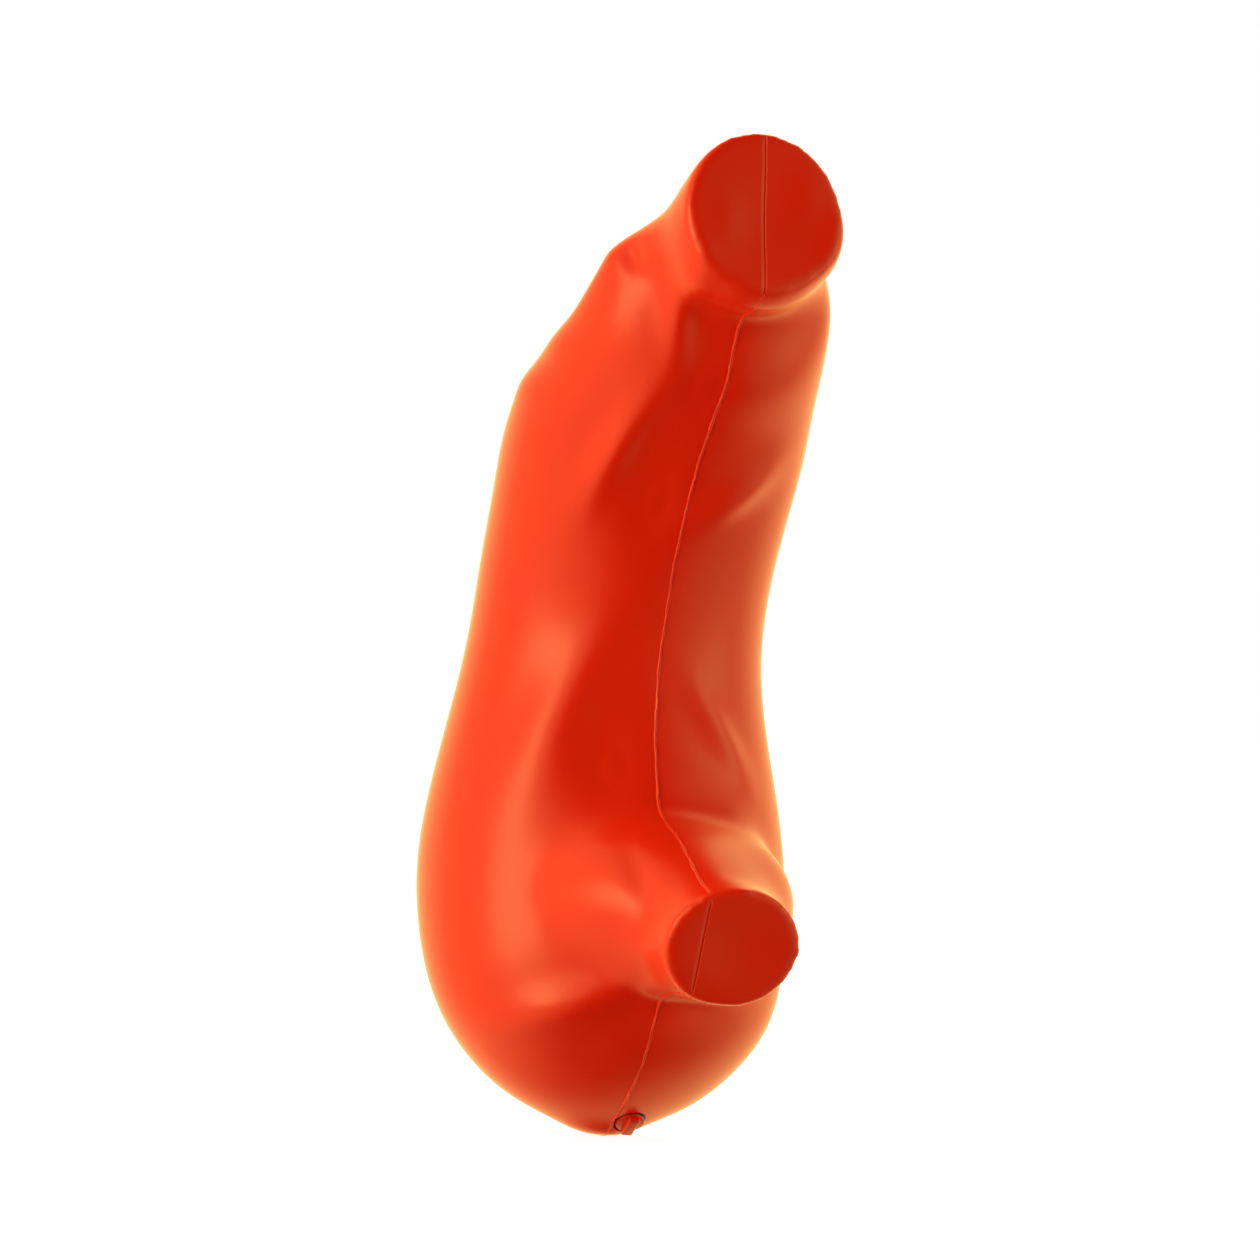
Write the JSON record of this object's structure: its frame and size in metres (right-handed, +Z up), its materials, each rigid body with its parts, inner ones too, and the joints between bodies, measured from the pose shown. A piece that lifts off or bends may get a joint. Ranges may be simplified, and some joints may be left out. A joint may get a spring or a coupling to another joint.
{
  "type": "grappling dummy",
  "caption": "Limbless grappling dummy body in glossy moulded plastic, with a forward-bent neck stump, a short front stump and a rounded weighted base with a filler plug.",
  "frame": {"origin": "middle of the underside of the bounding box, on the joint plane", "axes": "+Z up the body from the rounded base to the neck stump, -Y to the front where both stumps point, X across, with the two halves meeting at X = 0"},
  "size_m": [0.2967, 0.3918, 0.7857],
  "materials": {
    "skin": "satin gloss moulded vinyl",
    "strip": "woven bonding tape",
    "foam": "open-cell foam",
    "bag": "coated cloth",
    "grains": "loose sand",
    "fitting": "moulded nylon",
    "seal": "flat rubber",
    "plug": "moulded plastic"
  },
  "bodies": {
    "body": {"shell_left": "skin", "shell_right": "skin", "joint_bead_front": "skin", "joint_bead_back": "skin", "joint_strip": "strip", "foam_core_upper": "foam", "foam_core_lower": "foam", "foam_core_stub": "foam", "ballast_bag": "bag", "ballast_grains": "grains", "filler_bush": "fitting", "bush_locknut": "fitting", "bush_gasket": "seal"},
    "seal": {"plug_seal": "seal"},
    "plug": {"filler_plug": "plug"}
  },
  "joints": [
    {"name": "plug_lift", "type": "slide", "parent": "body", "child": "seal", "axis": [0, -0.6157, -0.788], "range_m": [0, 0.015]},
    {"name": "plug_turn", "type": "hinge", "parent": "seal", "child": "plug", "pos_m": [0.0135, -0.02055, 0.016], "axis": [0, -0.6157, -0.788], "range_deg": [0, 1800]}
  ],
  "couplings": [
    {"joint": "plug_turn", "follows": "plug_lift", "rad_per_m": 2094.4}
  ]
}
